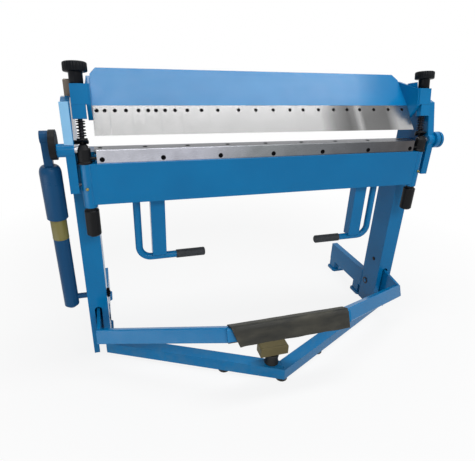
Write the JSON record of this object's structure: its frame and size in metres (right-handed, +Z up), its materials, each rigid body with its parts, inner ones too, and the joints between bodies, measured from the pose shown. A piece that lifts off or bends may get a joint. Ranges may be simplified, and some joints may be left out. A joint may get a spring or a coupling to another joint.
{
  "type": "box-and-pan folding machine",
  "caption": "floor-standing manual sheet-metal folder with a foot-pedal clamp beam, a segmented finger set, a folding apron with two handles and a side balance strut",
  "frame": {"origin": "on the floor, midway between the four anchor holes of the feet", "axes": "+X along the bed to the operator's right, +Y from the front to the back, +Z up"},
  "size_m": [1.5913, 0.8686, 1.1736],
  "materials": {
    "blue_paint": "glossy blue machine enamel",
    "ground_steel": "ground steel",
    "black_iron": "black cast iron",
    "spring_steel": "oiled spring steel",
    "black_plastic": "black moulded plastic",
    "black_rubber": "worn black rubber",
    "khaki_paint": "khaki paint"
  },
  "bodies": {
    "frame": {"column_left": "blue_paint", "column_right": "blue_paint", "side_plate_left": "blue_paint", "side_plate_right": "blue_paint", "base_beams": "blue_paint", "feet": "blue_paint", "vee_tubes": "blue_paint", "vee_pads": "black_rubber", "rubber_buffer": "black_rubber", "stop_block": "khaki_paint", "steel_posts": "ground_steel", "bed_beam": "blue_paint", "bed_blade": "ground_steel", "spring_seats": "black_iron", "adjusting_screws": "ground_steel", "lug_springs": "spring_steel"},
    "clamp": {"clamp_beam": "blue_paint", "clamp_lug_left": "blue_paint", "clamp_lug_right": "blue_paint", "finger_01": "ground_steel", "finger_02": "ground_steel", "finger_03": "ground_steel", "finger_04": "ground_steel", "finger_05": "ground_steel", "finger_06": "ground_steel", "finger_07": "ground_steel", "finger_08": "ground_steel", "finger_09": "ground_steel", "finger_10": "ground_steel", "finger_11": "ground_steel", "finger_12": "ground_steel"},
    "apron": {"apron_beam": "blue_paint", "folding_bar": "ground_steel", "end_tubes": "blue_paint", "hinge_knuckles": "black_iron", "height_adjusters": "black_iron", "pivot_shafts": "ground_steel", "shaft_collar": "blue_paint", "balance_disc": "black_iron", "handle_tubes": "blue_paint", "handle_posts": "blue_paint", "handle_grips": "black_plastic"},
    "pedal": {"pedal_levers": "blue_paint", "pedal_arms": "blue_paint", "pedal_bar": "blue_paint", "pedal_sleeve": "black_rubber"},
    "left_knob": {"knob_left": "black_plastic"},
    "right_knob": {"knob_right": "black_plastic"},
    "strut_lower": {"strut_tube": "blue_paint"},
    "strut_upper": {"strut_cover": "blue_paint"}
  },
  "joints": [
    {"name": "clamp_slide", "type": "slide", "parent": "frame", "child": "clamp", "axis": [0, -0.1908, -0.9816], "range_m": [0, 0.0418], "stiffness_N_per_m": 12000, "springref_m": -0.16, "deforming": ["lug_springs"]},
    {"name": "pedal_press", "type": "hinge", "parent": "frame", "child": "pedal", "pos_m": [0, -0.208, 0.117], "axis": [1, 0, 0], "range_deg": [0, 12.2]},
    {"name": "apron_swing", "type": "hinge", "parent": "frame", "child": "apron", "pos_m": [0, -0.364, 0.9], "axis": [-1, 0, 0], "range_deg": [0, 120]},
    {"name": "left_knob_turn", "type": "hinge", "parent": "frame", "child": "left_knob", "pos_m": [-0.675, -0.314, 1.102], "axis": [0, 0.1908, 0.9816], "continuous": true},
    {"name": "right_knob_turn", "type": "hinge", "parent": "frame", "child": "right_knob", "pos_m": [0.675, -0.314, 1.102], "axis": [0, 0.1908, 0.9816], "continuous": true},
    {"name": "strut_swing", "type": "hinge", "parent": "frame", "child": "strut_lower", "pos_m": [-0.7913, -0.284, 0.29], "axis": [1, 0, 0], "range_deg": [-0.5, 3.86]},
    {"name": "strut_slide", "type": "slide", "parent": "strut_lower", "child": "strut_upper", "axis": [0, -0.0625, 0.998], "range_m": [-0.0876, 0.001]}
  ],
  "couplings": [
    {"joint": "pedal_press", "follows": "clamp_slide", "rad_per_m": 5.0105},
    {"joint": "strut_swing", "follows": "apron_swing", "ratio": 0.027977},
    {"joint": "strut_slide", "follows": "apron_swing", "m_per_rad": -0.041347}
  ]
}
